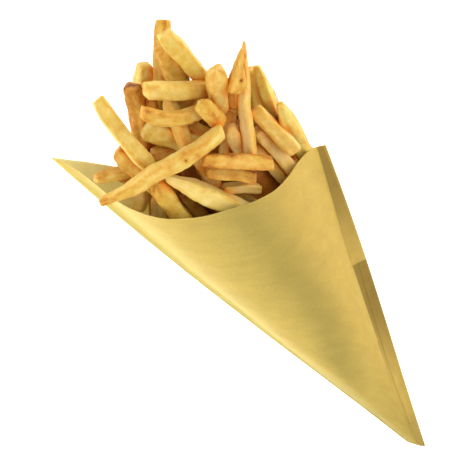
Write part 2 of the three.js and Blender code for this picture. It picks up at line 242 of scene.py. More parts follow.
LYING = [
    Fry((22.5, -275.5, 67), (-2.5, -256.5, 56.5), 7.5, bow=-3.5, ends=(0.9, 0.9), face=10, tone=0.45,
        toast=(0.45, 0.15), warm=0.1, marks=((0.03, 0.2, 1.6, 0.35),)),
    Fry((-3.5, -263, 67), (-5, -246.5, 60), 8.5, face=45, tone=0.42, toast=(0.1, 0.5), warm=-0.1),
    Fry((26, -263.5, 50.5), (8, -239, 48.5), 10, ends=(0.9, 0.8), face=15, tone=0.36, toast=(0.3, 0.5),
        warm=-0.4),
    Fry((8, -252.5, 47), (-4, -225, 35), 7.5, face=-15, tone=0.6),
    Fry((8, -269, 49), (15, -246, 60), 8, ends=(0.5, 0.75), face=45, tone=0.38, toast=(0.05, 0.3), warm=0.1),
    Fry((30.5, -250.5, 48.5), (1.5, -232, 32), 7, face=20, tone=0.5, toast=(0.3, 0.4), warm=1),
    Fry((-23, -242, 56), (-28.5, -211, 55.5), 8, face=8, tone=0.36, toast=(0.15, 0.3), warm=0.2),
    Fry((-34.5, -237.5, 59), (-33, -193.5, 34), 9.5, bow=-0.5, ends=(0.4, 0.9), taper=(0.3, 0.2), face=20,
        tone=0.36, toast=(0.1, 0.15), warm=-0.3),
    Fry((-18, -231.5, 54), (-25.5, -191, 40), 7, bow=-0.5, ends=(0.8, 0.7), tone=0.36, toast=(0.25, 0.3),
        warm=1),
    Fry((-9, -242.5, 58), (-2.5, -213.5, 50.5), 8, ends=(0.5, 0.9), face=12, tone=0.36, toast=(0.1, 0.6),
        warm=0.6, marks=((0.03, 0, 2, 0.15),)),
    Fry((17, -229, 43), (-8.5, -232, 45.5), 7, face=10, tone=0.7, toast=(0.4, 0.4)),
    Fry((11.5, -238.5, 65), (-15.5, -217, 67), 7.5, bow=-0.5, ends=(0.75, 0.9), face=-8, tone=0.66,
        toast=(0.15, 0.1), warm=0.4, marks=((0.2, 0.3, 2.5, 0.12),)),
    Fry((-14, -221.5, 37.5), (-19.5, -187, 35.5), 7.5, bow=-0.5,
        laid=((-13.5, -225, 48), (-19.5, -187.5, 37)), face=15, tone=0.36, toast=(0.2, 0.3), warm=0.7,
        marks=((0.4, 0, 1.1, 0.3),)),
    Fry((13.5, -230, 58.5), (-5, -213, 58.5), 7, bow=0.5, ends=(0.7, 0.9), face=-12, tone=0.62,
        toast=(0.15, 0.2), warm=0.3),
    Fry((11.5, -216, 51), (-4, -203, 47.5), 6, face=20, tone=0.24, toast=(0.15, 0.3), warm=0.6),
    Fry((13, -241, 56), (14.5, -204, 40), 7.5, ends=(0.8, 0.7), face=5, tone=0.36, warm=1),
    Fry((31, -240.5, 60.5), (4.5, -192, 51.5), 9.5, ends=(0.35, 0.9), taper=(0.28, 0.2), face=10, tone=0.28,
        toast=(0.1, 0.15), warm=-0.1),
    Fry((64, -250.5, 65.5), (-4.5, -245.5, 67.5), 8.5, bow=-2, ends=(0.35, 0.85), taper=(0.4, 0.2), face=12,
        tone=0.37, toast=(0.75, 0.05),
        marks=((0.675, -0.15, 0.9, 1.3), (0.755, -0.4, 1.2, 0.8), (0.05, 0, 3, 0.3))),
    Fry((36, -291, 57), (34, -245.5, 55), 8, bow=-1.5, face=-8, tone=0.22, toast=(0.05, 0.4), warm=-0.2),
    Fry((43, -263, 50.5), (36.5, -230, 45), 10, ends=(0.65, 0.9), face=18, tone=0.52, toast=(0.4, 0.4),
        warm=-0.2),
    Fry((60, -255, 42), (39, -243.5, 37.5), 6.5, face=30, tone=0.46, toast=(0.35, 0.3)),
    Fry((36.5, -239, 56), (37, -199.5, 45.5), 9, face=5, tone=0.46, toast=(0.2, 0.3), warm=-0.3),
    Fry((39, -229, 38), (48.5, -210, 34.5), 9, laid=((39, -230.5, 43), (48.5, -210, 35)), face=20, tone=0.2,
        toast=(0.1, 0.1), warm=0.5),
    Fry((41, -238, 39.5), (53, -227.5, 38.5), 7, face=40, tone=0.3, toast=(0.2, 0.3), warm=0.4),
    Fry((29.5, -223.5, 45), (27, -177.5, 29.5), 6.5, tone=0.5, toast=(0.5, 0.3), warm=0.6),
    Fry((6.5, -209, 44.5), (-3, -178, 36.5), 6, face=15, tone=0.35, toast=(0.4, 0.4), warm=1),
    Fry((-11, -206.5, 33), (-2.5, -183.5, 32.5), 7.5, face=10, tone=0.9, toast=(0.2, 0.2)),
    Fry((20, -194, 26), (51, -250, 34), 7, face=10, tone=0.7, toast=(0.4, 0.4)),
    Fry((31.5, -200.5, 32.5), (33.5, -253, 43.5), 7, face=25, tone=0.7, toast=(0.4, 0.4)),
]
# Fries deeper in the heap, in the gaps between the ones above; their darker tones are painted shade.
GAPS = [
    Fry((-21.5, -257.5, 58), (-15.5, -248.5, 56.5), 6, face=40, tone=0.42, toast=(0.15, 0.35), warm=0.5),
    Fry((-10, -248, 21), (-22.5, -234.5, 24), 7, face=10, tone=0.6),
    Fry((35.5, -245.5, 12), (21.5, -227, 18), 7, face=10, tone=0.7),
    Fry((29.5, -234, 14), (23, -214, 18), 8, face=20, tone=0.7),
    Fry((39.5, -230, 24), (49, -213.5, 27), 6.5, face=30, tone=0.95),
    Fry((-19, -234.5, 20), (-4.5, -221, 26), 6, face=30, tone=0.7),
]

# ---------------------------------------------------------------- the stage's dimensions

# Lengths of the camera are in millimetres, those of the floor and the lights in metres.
CAMERA_TARGET = (19.5, -178.5, 20)
CAMERA_DISTANCE = 820
CAMERA_TILT = 21.0  # degrees off straight down, towards the mouth
CAMERA_ROLL = 35.1  # degrees
CAMERA_LENS = 119.3
SENSOR = 36.0
FLOOR_HALF = 3.0
FLOOR_DROP = 0.0004  # how far the floor lies below the paper
SKY_COLOUR = (1, 0.99, 0.97)
KEY_LIGHT = {
    "place": (0.85, -0.25, 0.36), "target": (0, -0.06, 0.03), "size": (0.8, 0.6), "colour": (1, 0.985, 0.95),
}
SIDE_LIGHT = {
    "place": (-0.62, -0.05, 0.6), "target": (0, 0, 0.03), "size": (0.9, 0.9), "colour": (1, 0.98, 0.94),
}


# ---------------------------------------------------------------- settings


def colour_setting(name, description, default):
    """A colour that can be picked in the sidebar."""
    return FloatVectorProperty(
        name=name, description=description, default=default, subtype="COLOR", size=3, min=0, max=1
    )


class PaperConeSettings(bpy.types.PropertyGroup):
    """Sizes and colours of the paper."""

    thickness: FloatProperty(
        name="Thickness", description="Thickness of the sheet, in millimetres", default=0.35, min=0.1, max=1
    )
    lap_step: FloatProperty(
        name="Lap step", description="Height of the step where the sheet laps over, in millimetres",
        default=0.35, min=0, max=1,
    )
    waviness: FloatProperty(
        name="Waviness", description="Height of the soft waves in the sheet, in millimetres",
        default=0.35, min=0, max=2,
    )
    rows: IntProperty(name="Rows", description="Grid rows from tip to rim", default=170, min=20, max=400)
    columns: IntProperty(
        name="Columns", description="Grid columns on each wall", default=110, min=30, max=300
    )
    outside: colour_setting("Outside", "Colour of the outer face", (0.52, 0.38, 0.085))
    # The inner face's paler, greener colour is partly painted light, standing for light that comes through
    # the sheet.
    inside: colour_setting("Inside", "Colour of the inner face", (0.64, 0.61, 0.32))


class PotatoSettings(bpy.types.PropertyGroup):
    """Sizes and colours of the fries."""

    around: IntProperty(
        name="Points around", description="Points round a fry that shows", default=44, min=12, max=96
    )
    along: IntProperty(
        name="Rings along", description="Rings along a fry that shows", default=68, min=20, max=200
    )
    lumps: FloatProperty(
        name="Lumps", description="Height of the lumps on a fry, as a share of its width",
        default=0.042, min=0, max=0.2,
    )
    cream: colour_setting("Cream", "Colour of the palest crust", (0.74, 0.57, 0.25))
    pale: colour_setting("Pale", "Colour of pale crust", (0.67, 0.49, 0.15))
    golden: colour_setting("Golden", "Colour of golden crust", (0.61, 0.377, 0.077))
    ochre: colour_setting("Ochre", "Colour of well fried crust", (0.52, 0.26, 0.032))
    browned: colour_setting("Browned", "Colour of browned crust", (0.37, 0.13, 0.012))
    # painted shade and bounce light: the colour the crust is mixed towards where fries crowd together
    crevice_shade: colour_setting("Amber", "Colour of the crust deep between the fries", (0.78, 0.235, 0.015))
    dark: colour_setting("Dark", "Colour of the darkest spots", (0.19, 0.052, 0.004))


class StageSettings(bpy.types.PropertyGroup):
    """The studio around the cone."""

    key_power: FloatProperty(
        name="Key power", description="Power of the big soft light", subtype="POWER", default=5.3, min=0
    )
    side_power: FloatProperty(
        name="Side power", description="Power of the soft light across from it", subtype="POWER",
        default=5.4, min=0,
    )
    sky: FloatProperty(name="Sky", description="Strength of the even light all round", default=0.93, min=0)
    floor: colour_setting("Floor", "Colour of the floor", (0.98, 0.98, 0.98))


# ---------------------------------------------------------------- shared helpers


def row_frame(points):
    """Points in millimetres from the tip, moved into the row frame in metres."""
    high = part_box("paper_cone")[1]
    shift = np.array((high.x / MM - LONG_FOLD_END[0], high.y / MM, 0.0))
    return (np.asarray(points, float) + shift) * MM


def smooth_step(value, low, high):
    """0 below low, 1 above high, and a smooth rise between them."""
    share = np.clip((np.asarray(value, float) - low) / (high - low), 0, 1)
    return share * share * (3 - 2 * share)


def unit(vectors):
    """The vectors, each made 1 long."""
    vectors = np.asarray(vectors, float)
    return vectors / np.maximum(np.linalg.norm(vectors, axis=-1, keepdims=True), 1e-12)


def lerp(a, b, share):
    """The points a share of the way from a to b."""
    return a + (b - a) * np.asarray(share, float)[..., None]


NOISE_CELLS = 32  # the bumps repeat after this many


def lumpiness(points, size, seed):
    """Smooth random values from -1 to 1, with bumps of about the given size."""
    values = np.random.RandomState(seed).uniform(-1, 1, (NOISE_CELLS,) * 3)
    cell = np.asarray(points, float) / size
    low = np.floor(cell).astype(int)
    share = cell - low
    share = share * share * (3 - 2 * share)
    low %= NOISE_CELLS
    high = (low + 1) % NOISE_CELLS
    x0, y0, z0 = low[..., 0], low[..., 1], low[..., 2]
    x1, y1, z1 = high[..., 0], high[..., 1], high[..., 2]
    sx, sy, sz = share[..., 0], share[..., 1], share[..., 2]
    near = (values[x0, y0, z0] * (1 - sx) + values[x1, y0, z0] * sx) * (1 - sy)
    near += (values[x0, y1, z0] * (1 - sx) + values[x1, y1, z0] * sx) * sy
    far = (values[x0, y0, z1] * (1 - sx) + values[x1, y0, z1] * sx) * (1 - sy)
    far += (values[x0, y1, z1] * (1 - sx) + values[x1, y1, z1] * sx) * sy
    return near * (1 - sz) + far * sz


def ring_pairs(around):
    """The number of each point of a ring, and of the point beside it."""
    here = np.arange(around)
    return here, (here + 1) % around


def closed_grid_faces(rings, around, first=0):
    """Quads between rings of points, each ring closed on itself."""
    ring = np.arange(rings - 1)[:, None] * around + first
    here, beside = ring_pairs(around)
    quads = [ring + here, ring + beside, ring + around + beside, ring + around + here]
    return np.stack(quads, -1).reshape(-1, 4)


def quad_corners(columns, rows):
    """The UV places of the corners of a grid of quads, from the places of its columns and rows."""
    left, low = np.meshgrid(columns[:-1], rows[:-1])
    right, high = np.meshgrid(columns[1:], rows[1:])
    return np.stack([left, low, right, low, right, high, left, high], -1).reshape(-1, 2)


def make_piece(name, points, faces, material, corners=None, values=None, places=None):
    """A smooth mesh object in the row frame.

    corners holds a UV place for each corner of each face. values and places hold a number or a vector for
    each point, by the name that the material reads them by.
    """
    mesh = bpy.data.meshes.new(name)
    mesh.from_pydata(row_frame(points).tolist(), [], [[int(i) for i in face] for face in faces])
    mesh.shade_smooth()
    if corners is not None:
        layer = mesh.uv_layers.new(name=BAKE_MAP)
        layer.data.foreach_set("uv", np.asarray(corners, np.float32).ravel())
    for kind, key, attributes in (("FLOAT", "value", values), ("FLOAT_VECTOR", "vector", places)):
        for label, numbers in (attributes or {}).items():
            layer = mesh.attributes.new(label, kind, "POINT")
            layer.data.foreach_set(key, np.asarray(numbers, np.float32).ravel())
    mesh.materials.append(material)
    piece = bpy.data.objects.new(name, mesh)
    bpy.context.scene.collection.objects.link(piece)
    return piece


# ---------------------------------------------------------------- shader helpers


def new_material(name):
    """A material with its nodes, links and Principled shader."""
    material = bpy.data.materials.new(name)
    material.use_nodes = True
    nodes = material.node_tree.nodes
    return material, nodes, material.node_tree.links, nodes["Principled BSDF"]


def new_group(name, inputs, outputs):
    """A shader node group with inputs as (name, socket type, default) and outputs as (name, socket type)."""
    group = bpy.data.node_groups.new(name, "ShaderNodeTree")
    for label, kind, default in inputs:
        socket = group.interface.new_socket(label, in_out="INPUT", socket_type=kind)
        if default is not None:
            socket.default_value = default
    for label, kind in outputs:
        group.interface.new_socket(label, in_out="OUTPUT", socket_type=kind)
    return group, group.nodes.new("NodeGroupInput"), group.nodes.new("NodeGroupOutput")


def set_sockets(node, values):
    """Sets a node's sockets, by their names, to values that are the same all over the surface."""
    for label, value in values.items():
        node.inputs[label].default_value = value


def math_node(tree, operation, *values, clamp=False):
    """A Math node fed by sockets or numbers; returns its output."""
    node = tree.nodes.new("ShaderNodeMath")
    node.operation = operation
    node.use_clamp = clamp
    for socket, value in zip(node.inputs, values):
        if isinstance(value, (int, float)):
            socket.default_value = value
        else:
            tree.links.new(value, socket)
    return node.outputs[0]


def around_one(tree, noise, swing):
    """The noise as a factor that swings evenly about 1."""
    return math_node(tree, "MULTIPLY_ADD", noise, swing, 1 - swing / 2)


def noise_node(tree, vector, scale, detail, roughness):
    """Soft random values from 0 to 1; returns the output."""
    node = tree.nodes.new("ShaderNodeTexNoise")
    set_sockets(node, {"Scale": scale, "Detail": detail, "Roughness": roughness})
    tree.links.new(vector, node.inputs["Vector"])
    return node.outputs["Fac"]


def range_node(tree, value, start, end, at_start, at_end):
    """Takes a value from the range start to end into the range at_start to at_end; returns the output."""
    node = tree.nodes.new("ShaderNodeMapRange")
    set_sockets(node, {"From Min": start, "From Max": end, "To Min": at_start, "To Max": at_end})
    tree.links.new(value, node.inputs["Value"])
    return node.outputs["Result"]


def mix_node(tree, share, first, second):
    """A mix of two colours, each a socket or three numbers; returns the output."""
    node = tree.nodes.new("ShaderNodeMix")
    node.data_type = "RGBA"
    tree.links.new(share, node.inputs["Factor"])
    for label, colour in (("A", first), ("B", second)):
        if isinstance(colour, bpy.types.NodeSocket):
            tree.links.new(colour, node.inputs[label])
        else:
            node.inputs[label].default_value = (*colour, 1)
    return node.outputs["Result"]


def tinted(tree, colour, tint):
    """A colour multiplied by another; returns the output."""
    node = tree.nodes.new("ShaderNodeVectorMath")
    node.operation = "MULTIPLY"
    tree.links.new(colour, node.inputs[0])
    tree.links.new(tint, node.inputs[1])
    return node.outputs["Vector"]


def shaded(tree, colour, amount):
    """A colour made lighter or darker by an amount; returns the output."""
    node = tree.nodes.new("ShaderNodeVectorMath")
    node.operation = "SCALE"
    tree.links.new(colour, node.inputs[0])
    tree.links.new(amount, node.inputs["Scale"])
    return node.outputs["Vector"]


def stretched(tree, vector, scale):
    """The vector with each of its parts scaled; returns the output."""
    node = tree.nodes.new("ShaderNodeMapping")
    node.inputs["Scale"].default_value = scale
    tree.links.new(vector, node.inputs["Vector"])
    return node.outputs["Vector"]


def attribute_node(nodes, name, output):
    """Reads what the mesh holds for each point by the given name."""
    node = nodes.new("ShaderNodeAttribute")
    node.attribute_type = "GEOMETRY"
    node.attribute_name = name
    return node.outputs[output]


def add_relief(tree, shader, height, strength, distance):
    """Fine relief on the shader's surface, by a Bump node."""
    bump = tree.nodes.new("ShaderNodeBump")
    set_sockets(bump, {"Strength": strength, "Distance": distance})
    tree.links.new(height, bump.inputs["Height"])
    tree.links.new(bump.outputs["Normal"], shader.inputs["Normal"])


# ---------------------------------------------------------------- the paper's surface


@dataclass
class SheetGrid:
    """The sheet's outer surface, as rings of points from the tip to the rim, and what lies where on it."""

    points: np.ndarray
    front: np.ndarray  # 1 on the front wall, 0 on the back wall
    share: np.ndarray  # share of the wall passed, going round
    reach: np.ndarray  # 0 at the tip, 1 at the rim
    lap: np.ndarray  # step up onto the lap, as a share of the flap's
    doubled: np.ndarray  # 1 between the flap's seam and the short fold

    def from_fold(self):
        """The share of the wall from each point to the nearer fold."""
        return np.minimum(self.share, 1 - self.share)


def bezier(points, share):
    """The points a share of the way along a curve with four control points."""
    a, b, c, d = (np.asarray(p, float) for p in points)
    t = np.asarray(share, float)[..., None]
    return (1 - t) ** 3 * a + 3 * (1 - t) ** 2 * t * b + 3 * (1 - t) * t * t * c + t**3 * d


def chain(curves, breaks, share):
    """The points a share of the way along curves that meet at the given breaks."""
    share = np.asarray(share, float)
    found = np.zeros(share.shape + (3,))
    for i, curve in enumerate(curves):
        last = i == len(curves) - 1
        inside = (share >= breaks[i]) & ((share < breaks[i + 1]) | last)
        local = (share - breaks[i]) / (breaks[i + 1] - breaks[i])
        found = np.where(inside[..., None], bezier(curve, local), found)
    return found


def front_point(share, reach):
    """The front wall: share runs from the long fold to the short fold, and reach from the tip to the rim."""
    tip = lerp(np.array(TIP_LONG, float), np.array(TIP_SHORT, float), share)
    tip[..., 2] += TIP_RISE * np.sin(np.pi * share)
    return swell(lerp(tip, chain(FRONT_RIM, FRONT_BREAKS, share), reach), reach)


def back_point(share, reach):
    """The back wall, from the short fold to the long fold."""
    tip = lerp(np.array(TIP_SHORT, float), np.array(TIP_LONG, float), share)
    down = np.minimum(1, np.minimum(4 * share, 4 * (1 - share)))
    tip[..., 2] *= 1 - np.sin(np.pi / 2 * down)
    return swell(lerp(tip, chain(BACK_RIM, BACK_BREAKS, share), reach), reach)


def swell(points, reach):
    """The walls bow out sideways, most half way up."""
    points = points.copy()
    points[..., 0] *= 1 + BOW * np.sin(np.pi * np.clip(reach, 0, 1))
    return points


def seam_share(reach, seam):
    """The share of the front wall at which a seam lies, from its distance to the short fold."""
    shares = np.linspace(*SEAM_SEARCH)
    found = []
    for r in reach:
        ring = front_point(shares, np.full(shares.shape, r))
        steps = np.linalg.norm(np.diff(ring, axis=0), axis=1)
        from_fold = np.append(np.cumsum(steps[::-1])[::-1], 0.0)
        width = np.interp(r, *zip(*seam))
        found.append(np.interp(-width, -from_fold, shares))
    return np.array(found)[:, None]


def paper_grid(settings):
    """The sheet as folded, still without its waves, its lap's step and its crease."""
    rows = np.linspace(0, 1, settings.rows + 1)
    # a row just before and just after the flap's end, so that its edge is crisp
    nearest = int(round(FLAP_END * settings.rows))
    rows[nearest] = FLAP_END - FLAP_END_SLOPE
    rows[nearest + 1] = FLAP_END + FLAP_END_SLOPE
    flap_seam = seam_share(rows, FLAP_SEAM)
    seam = np.where(rows[:, None] > FLAP_END, flap_seam, seam_share(rows, LAP_SEAM))

    beside_lap = settings.columns - LAP_COLUMNS
    plain = np.linspace(0, 1, beside_lap) ** COLUMN_SPREAD * (seam - SEAM_SLOPE)
    onto_lap = seam + SEAM_SLOPE + np.linspace(0, 1, LAP_COLUMNS)[:-1] * (1 - seam - SEAM_SLOPE)
    front_share = np.concatenate([plain, onto_lap], 1)
    back_share = np.tile(np.linspace(0, 1, settings.columns)[:-1], (len(rows), 1))

    share = np.concatenate([front_share, back_share], 1)
    reach = np.repeat(rows[:, None], share.shape[1], 1)
    fronts = front_share.shape[1]
    front_points = front_point(front_share, reach[:, :fronts])
    back_points = back_point(back_share, reach[:, fronts:])
    column = np.arange(share.shape[1])
    front = np.ones(share.shape) * (column < fronts)
    lap = front * (column >= beside_lap) * np.where(reach > FLAP_END, 1, UNDER_LAYER_STEP)
    doubled = front * (share > flap_seam)
    return SheetGrid(np.concatenate([front_points, back_points], 1), front, share, reach, lap, doubled)


def grid_normals(points):
    """Outward normals of a surface whose rows are closed rings."""
    around = np.roll(points, -1, 1) - np.roll(points, 1, 1)
    along = np.gradient(points, axis=0)
    return unit(np.cross(around, along))


def crease_line(grid):
    """How far each point lies to the side of the pressed crease, and how near its middle."""
    samples = np.linspace(0, 1, CREASE_SAMPLES)
    given = np.linspace(0, 1, len(CREASE))
    shares, reaches = (np.interp(samples, given, column) for column in zip(*CREASE))
    line = front_point(shares, reaches)
    gap = np.linalg.norm(grid.points[..., None, :2] - line[:, :2], axis=-1)
    return gap.min(-1), grid.front * np.sin(np.pi * gap.argmin(-1) / (CREASE_SAMPLES - 1))


def sheet_relief(grid, settings):
    """How far the sheet stands out: soft waves, the step onto the lap, and the pressed crease."""
    # no waves at the folds, or where the back wall rests on the table
    off_table = grid.front + (1 - grid.front) * smooth_step(grid.points[..., 2], 2, 9)
    free = smooth_step(grid.from_fold(), 0, 0.06) * off_table
    waves = lumpiness(grid.points * (1, 0.45, 1), 13, 5) + 0.45 * lumpiness(grid.points, 5.5, 6)
    relief = settings.waviness * free * waves
    relief += settings.lap_step * grid.lap * grid.front * smooth_step(1 - grid.share, 0, 0.012)
    across, middle = crease_line(grid)
    sharpness = 1 - 0.35 * smooth_step(across, 0, 3)
    return relief + CREASE_HEIGHT * middle * (1 - smooth_step(across, 0, CREASE_REACH)) * sharpness


def shade_band_share(grid):
    """How much painted shade darkens the front wall: a band from the rim to the crease, sharper on its left.
    """
    middle = PAINTED_SHADE_BAND["middle"] - PAINTED_SHADE_BAND["lean"] * np.maximum(0, PAINTED_SHADE_BAND["bend"] - grid.reach)
    spread = np.where(grid.share < middle, PAINTED_SHADE_BAND["left"], PAINTED_SHADE_BAND["right"])
    return np.exp(-(((grid.share - middle) / spread) ** 2)) * smooth_step(grid.reach, *PAINTED_SHADE_BAND["sets_in"])


def sheet_tint(grid):
    """What the colour of the outer face is multiplied by at each point, painted shade among it."""
    # the doubled strip and its painted shade are darkest at the rim and just past the flap's end
    flap = 0.25 + 0.75 * smooth_step(grid.reach, 0.64, 0.9)
    under_layer = smooth_step(grid.reach, 0.2, 0.52)
    doubled = np.maximum(grid.lap, grid.doubled) * np.where(grid.reach > FLAP_END, flap, under_layer)
    seam_side = grid.front * smooth_step(grid.share, 0.5, 0.8)
    near_tip = 1 - smooth_step(grid.reach, 0.08, 0.45)
    long_fold = grid.front * (1 - smooth_step(grid.share, 0.25, 0.5))
    long_fold = long_fold * (1 - smooth_step(grid.reach, 0.15, 0.5))
    lemon = grid.front * (1 - smooth_step(grid.share, 0.12, 0.34)) * smooth_step(grid.reach, 0.1, 0.35)
    tip_corner = grid.front * smooth_step(grid.share, 0.45, 0.75) * (1 - smooth_step(grid.reach, 0.05, 0.17))
    tint = np.ones(grid.points.shape)
    for amount, colour in (
        (doubled, DOUBLE_AND_SHADE_TINT),
        (grid.front * shade_band_share(grid), SHADE_BAND_TINT),
        (seam_side, SEAM_SIDE_TINT),
        (near_tip, TIP_TINT),
        (long_fold, LONG_FOLD_SHADE_TINT),
        (lemon, LEMON_TINT),
        (tip_corner, TIP_CORNER_TINT),
    ):
        tint *= 1 + amount[..., None] * (np.array(colour) - 1)
    return tint


def both_faces(outer, inner):
    """Values of the sheet's outer face, and of its inner face walked back down from the rim."""
    return np.concatenate([outer, inner[::-1]], 0)


def build_paper(settings, material):
    """The cone: one skin that runs up the outer face, over the rim and down the inner face."""
    grid = paper_grid(settings)
    out = grid_normals(grid.points)
    outer = grid.points + out * sheet_relief(grid, settings)[..., None]
    # the rim's edge is not cut quite straight
    uneven = RIM_UNEVENNESS * lumpiness(outer, 9, 8) * smooth_step(grid.reach, 0.97, 1)
    outer = outer + unit(outer[-1] - outer[-8])[None] * uneven[..., None]
    outer[..., 2] = np.maximum(outer[..., 2], 0)
    # the sheet is pressed thin at the folds, and the lap's step is filled
    near_fold = smooth_step(grid.from_fold(), 0, 0.04)
    thick = settings.thickness * (0.25 + 0.75 * near_fold)
    thick = thick + settings.lap_step * grid.lap * grid.front * near_fold
    inner = outer - out * thick[..., None]
    inner[..., 2] = np.maximum(inner[..., 2], 0.05 * settings.thickness)

    sheet = both_faces(outer, inner)
    rings, around = sheet.shape[:2]
    here, beside = ring_pairs(around)
    last = (rings - 1) * around
    tip_edge = np.stack([last + here, last + beside, beside, here], -1)
    faces = np.concatenate([closed_grid_faces(rings, around), tip_edge], 0)
    # the outer face fills the lower half of the UV map and the inner face the upper half
    climb = 0.485 * grid.reach[:, 0]
    corners = quad_corners(np.arange(around + 1) / around, np.concatenate([climb, 0.515 + climb, [1.0]]))

    inside = both_faces(np.zeros(grid.share.shape), np.ones(grid.share.shape))
    turn = both_faces(grid.share + 1 - grid.front, grid.share + 1 - grid.front)
    along = both_faces(grid.reach, grid.reach)
    place = np.stack([turn * GRAIN_WIDTH, along * GRAIN_LENGTH, inside * GRAIN_OFFSET], -1)
    places = {
        "sheet_place": place.reshape(-1, 3),
        "sheet_tint": both_faces(sheet_tint(grid), np.ones(inner.shape)).reshape(-1, 3),
    }
    return make_piece(
        "straw_paper_cone", sheet.reshape(-1, 3), faces, material, corners, {"inside": inside}, places
    )


def straw_paper(settings):
    """Thin, lightly mottled straw paper with short fibres along its length."""
    material, nodes, links, shader = new_material("straw_paper_sheet")
    tree = material.node_tree
    place = attribute_node(nodes, "sheet_place", "Vector")
    clouds = noise_node(tree, place, scale=0.09, detail=4, roughness=0.6)
    fibres = noise_node(tree, stretched(tree, place, (0.5, 0.14, 0.5)), scale=3, detail=3, roughness=0.6)
    specks = noise_node(tree, place, scale=0.75, detail=2, roughness=0.5)
    fine = noise_node(tree, place, scale=2.6, detail=3, roughness=0.6)
    side = mix_node(tree, attribute_node(nodes, "inside", "Fac"), settings.outside, settings.inside)
    shade = around_one(tree, clouds, swing=0.34)
    for factor in (
        around_one(tree, fibres, swing=0.26),
        around_one(tree, fine, swing=0.34),
        range_node(tree, specks, start=0.7, end=0.78, at_start=1, at_end=0.72),
    ):
        shade = math_node(tree, "MULTIPLY", shade, factor)
    # the tint multiplies painted shade into the sheet's colour
    colour = shaded(tree, tinted(tree, side, attribute_node(nodes, "sheet_tint", "Vector")), shade)
    links.new(colour, shader.inputs["Base Color"])
    height = math_node(tree, "ADD", fibres, math_node(tree, "MULTIPLY", fine, 0.6))
    add_relief(tree, shader, height, strength=0.22, distance=0.0004)
    set_sockets(shader, {
        "Roughness": 0.62,
        "Specular IOR Level": 0.3,
        "Subsurface Weight": 0.7,
        "Subsurface Radius": (1.0, 0.8, 0.35),
        "Subsurface Scale": 0.001,
    })
    return material


# ---------------------------------------------------------------- fries


def fry_basis(fry):
    """Its start and end, and the directions ahead, to its side and up from it."""
    start, end = np.array(fry.start, float), np.array(fry.end, float)
    ahead = unit(end - start)
    side = unit(np.array((-ahead[1], ahead[0], 0.0)))
    return start, end, ahead, side, np.cross(ahead, side)


def fry_line(fry, share):
    """The centre line of a fry: straight, or bowed sideways."""
    start, end, _, side, _ = fry_basis(fry)
    share = np.asarray(share, float)
    return lerp(start, end, share) + side * (fry.bow * 4 * share * (1 - share))[..., None]


def fry_fullness(fry, share):
    """The share of its width that a fry has along its length."""

    def plump(end, over, inwards):
        """The share at a distance inwards from an end that slims down over some of the length."""
        walked = np.clip(inwards / over, 0, 1)
        swollen = np.sin(walked * np.pi / 2) if over <= TAPER else walked**0.9
        return end + (1 - end) * swollen

    first = plump(fry.ends[0], fry.taper[0], share)
    return np.minimum(first, plump(fry.ends[1], fry.taper[1], 1 - share))


def fry_rings(length, width, along):
    """(distance from the start, share of the section) of each ring of points."""
    depth = RIM_DEPTH * width
    cut = [(depth * (1 - math.sqrt(1 - share**RIM_CURVE)), share) for share in CUT]
    body = np.linspace(depth, length - depth, along - 2 * len(CUT) + 2)[1:-1]
    far_cut = [(length - place, share) for place, share in reversed(cut)]
    return np.array(cut + [(place, 1.0) for place in body] + far_cut)


def fry_section(around, draw):
    """The outline of a section of width 1: its turn, points, and how near a corner each point is."""
    turn = np.linspace(0, 2 * np.pi, around, endpoint=False)
    turn = turn + 0.12 * np.sin(FACES * turn)
    cos, sin = np.cos(turn), np.sin(turn)
    square = SQUARENESS + draw.uniform(-1.2, 2.0)
    radius = 0.5 * (np.abs(cos) ** square + np.abs(sin) ** square) ** (-1 / square)
    # the faces sink in a little as the inside dries, each by its own amount
    face = np.round(turn / (np.pi / 2)).astype(int) % FACES
    sunk = draw.uniform(0.0, 0.09, FACES)[face] * np.maximum(0, np.cos(FACES * turn)) ** 1.5
    # and the cut is never quite square
    skew = draw.uniform(-0.10, 0.10)
    section = np.stack([cos, sin * draw.uniform(0.86, 1.0)], -1) * (radius * (1 - sunk))[:, None]
    section[:, 0] += skew * section[:, 1]
    corner = (0.5 - 0.5 * np.cos(FACES * turn)) ** 2
    return turn, section, corner


@dataclass
class Cut:
    """One fry as it is cut, before it is bent and fried."""

    rings: np.ndarray  # distance from the start and share of the section, for each ring of points
    share: np.ndarray  # share of the length at each ring
    from_ends: np.ndarray  # distance of each ring from the start, and from the end
    turn: np.ndarray  # angle of each point of the section
    section: np.ndarray  # outline of the section, 1 wide as seen from above
    corner: np.ndarray  # how near a corner each point of the section is
    places: np.ndarray  # place of each point on the straight stick


def cut_fry(fry, number, around, along, draw):
    """Cuts the stick. Its places are moved by its number, so that no two fries look alike."""
    length = float(np.linalg.norm(np.subtract(fry.end, fry.start)))
    rings = fry_rings(length, fry.width, along)
    turn, section, corner = fry_section(around, draw)
    tilt = math.radians(fry.face)
    section *= 0.5 / np.abs(section @ (math.cos(tilt), -math.sin(tilt))).max()
    from_ends = np.stack([rings[:, 0], length - rings[:, 0]], 0)
    flat = np.broadcast_to(section * fry.width, (len(rings), around, 2))
    places = np.concatenate([np.repeat(rings[:, :1, None], around, 1), flat], -1)
    places = places + np.array((37, 11, 0)) * number
    return Cut(rings, rings[:, 0] / length, from_ends, turn, section, corner, places)


def crust_relief(cut):
    """Dents and pimples all over, and nicks along the corners."""
    dents = lumpiness(cut.places * (0.5, 1, 1), 4.2, 31)
    pimples = lumpiness(cut.places, 1.5, 32)
    nicks = np.minimum(0, lumpiness(cut.places, 2.6, 34) + 0.35) * cut.corner
    return (1.25 * dents + 0.4 * pimples) * (0.8 + 0.3 * cut.corner) + 2.2 * nicks


